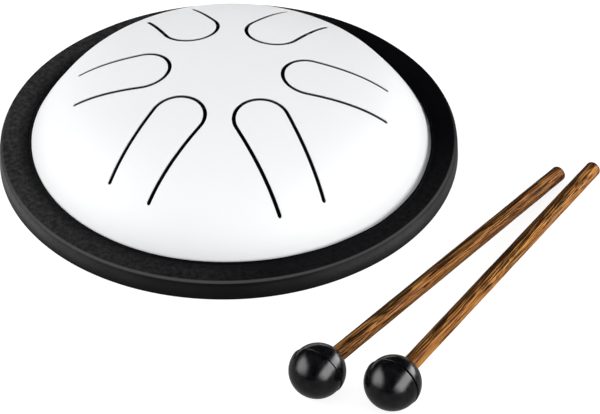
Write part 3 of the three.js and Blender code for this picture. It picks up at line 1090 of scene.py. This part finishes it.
def floor_paper(name):
    """A lit table: an even glow everywhere but under the drum, where the floor is painted
    near-black as shade; dimmer in reflections.
    """
    m = Material(name)
    tone = m.remap(m.noise(m.coords(), scale=0.7), span=(0.3, 0.7))
    glossy_ray = m.new("ShaderNodeLightPath").outputs["Is Glossy Ray"]
    pale = m.mix(tone, (0.335, 0.335, 0.335), (0.345, 0.345, 0.345))
    distance = m.vector_math("DISTANCE", m.object_coords(), (AXIS_X, AXIS_Y, 0), output="Value")
    open_floor = m.remap(distance, span=(0.080, 0.0885))
    pale = m.mix(glossy_ray, pale, (0.10, 0.10, 0.10))
    # painted shade: under the drum the floor is near-black and, below, gets no glow
    color = m.mix(open_floor, (0.01, 0.01, 0.01), pale)
    glow = m.add(0.83, m.mul(glossy_ray, -0.57))
    far = m.remap(distance, span=(0.60, 1.60), to=(1.0, 0.86))
    glow = m.mul(m.mul(glow, open_floor), far)
    m.surface(Roughness=0.9, Specular_IOR_Level=0.0, Base_Color=color,
              Emission_Color=(1, 1, 1), Emission_Strength=glow)
    return m.mat


# --------------------------------------------------------------------------
# Stage, light, camera
# --------------------------------------------------------------------------
CAM_AT = (-0.026216, -0.625774, 0.516908)
CAM_RIGHT = (0.99910891, -0.04220645, 0.00005588)
CAM_UP = (0.02698636, 0.63983666, 0.76803696)
CAM_FORWARD = (0.03245186, 0.76735107, -0.64040551)
CAM_SHIFT = 0.00083333333     # lens shift left and up, as a share of the frame's width


def build_floor():
    size, z = 30.0, -0.00012
    mesh = bpy.data.meshes.new("floor")
    corners = [(-size, -size, z), (size, -size, z), (size, size, z), (-size, size, z)]
    mesh.from_pydata(corners, [], [(0, 1, 2, 3)])
    floor = link_object("floor", mesh)
    give(floor, floor_paper("floor_paper"))


def reflected_box(w, half, centre, turn, half_size, softness, taper):
    """Mask of a soft box, placed by where a mirror ball would show it to the camera.

    `half` is the mirror's normal; sizes are in its components along the camera's right and up,
    turned by `turn` degrees.  The box narrows upward by `taper`.
    """
    c, s = math.cos(math.radians(turn)), math.sin(math.radians(turn))
    across = tuple(c * r + s * u for r, u in zip(CAM_RIGHT, CAM_UP))
    along = tuple(-s * r + c * u for r, u in zip(CAM_RIGHT, CAM_UP))
    centre_across = centre[0] * c + centre[1] * s
    centre_along = -centre[0] * s + centre[1] * c
    above = w.math("MAXIMUM", w.sub(w.dot(half, along), centre_along), 0.0)
    narrowing = w.mul(above, taper)

    def edge(distance, size, soft):
        return w.remap(distance, span=(size + soft, size - soft), mode="SMOOTHSTEP")

    off_across = w.math("ABSOLUTE", w.sub(w.dot(half, across), centre_across))
    off_along = w.math("ABSOLUTE", w.sub(w.dot(half, along), centre_along))
    return w.mul(edge(w.add(off_across, narrowing), half_size[0], softness[0]),
                 edge(off_along, half_size[1], softness[1]))


def build_world():
    """Pale to the eye, an even glow for the light, two soft boxes in a dim room for reflections."""
    world = bpy.data.worlds.new("studio")
    bpy.context.scene.world = world
    world.use_nodes = True
    world.cycles.sampling_method = "NONE"
    w = Nodes(world.node_tree)
    direction = w.new("ShaderNodeTexCoord").outputs["Generated"]
    half = w.vector_math(
        "NORMALIZE", w.vector_math("ADD", direction, tuple(-c for c in CAM_FORWARD)))
    left_box = reflected_box(w, half, centre=(-0.50, 0.22), turn=-8.0, half_size=(0.16, 0.28),
                             softness=(0.09, 0.18), taper=0.42)
    right_box = reflected_box(w, half, centre=(0.47, 0.14), turn=-38.0, half_size=(0.15, 0.46),
                              softness=(0.06, 0.15), taper=0.06)
    left_strength, right_strength, camera_strength = 7.6, 10.4, 0.92
    upward = w.dot(direction, (0, 0, 1))
    room = w.remap(upward, span=(-0.1, 1.0), to=(0.02, 0.045))
    gloss = w.add(room, w.add(w.mul(left_box, left_strength), w.mul(right_box, right_strength)))
    # the glow is stronger from the front
    backward = w.dot(direction, (0, 1, 0))
    even = w.add(w.remap(backward, span=(-1.0, 1.0), to=(0.79, 0.47)),
                 w.remap(upward, span=(0.0, 1.0), to=(0.0, 0.05)))
    path = w.new("ShaderNodeLightPath")

    def choose(ray, if_so, otherwise):
        ray = path.outputs[ray]
        return w.add(w.mul(ray, if_so), w.mul(w.sub(1.0, ray), otherwise))

    strength = choose("Is Camera Ray", camera_strength, choose("Is Glossy Ray", gloss, even))
    background = w.new("ShaderNodeBackground")
    w.set(background, Color=(1, 1, 1), Strength=strength)
    w.set(w.new("ShaderNodeOutputWorld"), Surface=background.outputs[0])


# name, direction from the drum, width, height, watts
SOFTBOXES = (
    ("left_box", (-0.88, 0.26, 0.44), 1.2, 1.2, 15.4),
    ("right_box", (0.88, -0.22, 0.38), 1.2, 1.2, 14.0),
    ("front_fill", (0.06, -0.97, 0.20), 1.2, 0.8, 5.8),
)
LIGHT_DISTANCE = 1.6
LIGHT_TARGET = (AXIS_X + 0.02, AXIS_Y - 0.04, 0.01)


def build_lights():
    for name, direction, width, height, watts in SOFTBOXES:
        light = bpy.data.lights.new(name, "AREA")
        light.shape = "RECTANGLE"
        light.size, light.size_y = width, height
        light.energy = watts
        ob = link_object(name, light)
        away = Vector(direction).normalized()
        ob.location = Vector(LIGHT_TARGET) + away * LIGHT_DISTANCE
        ob.rotation_mode = "QUATERNION"
        ob.rotation_quaternion = (-away).to_track_quat("-Z", "Y")
        ob.visible_glossy = False


def build_camera():
    data = bpy.data.cameras.new("camera")
    camera = link_object("camera", data)
    data.sensor_fit = "HORIZONTAL"
    data.sensor_width = 36.0
    data.lens = 128.41
    data.shift_x, data.shift_y = -CAM_SHIFT, CAM_SHIFT
    data.clip_start, data.clip_end = 0.01, 100.0
    rows = [(CAM_RIGHT[i], CAM_UP[i], -CAM_FORWARD[i], CAM_AT[i]) for i in range(3)]
    camera.matrix_world = Matrix(rows + [(0, 0, 0, 1)])
    scene = bpy.context.scene
    scene.camera = camera
    scene.view_settings.view_transform = "Standard"
    scene.view_settings.look = "None"


# --------------------------------------------------------------------------
# Build
# --------------------------------------------------------------------------
white = enamel("white_enamel")
# painted shade: the drum's inside faces are near-black
inside_shade = dark_steel("painted_shade_inside", tone=0.030)
sawn = dark_steel("sawn_edge", tone=0.05)
rubber = ring_rubber("ring_rubber")
ball_material = ball_rubber("ball_rubber")
foam = gasket_foam("gasket_foam")

build_dome(white, inside_shade, sawn)
build_pan(white, inside_shade)
build_strip(foam)
build_ring(rubber)
build_mallets(ball_material)
build_floor()
build_world()
build_lights()
build_camera()
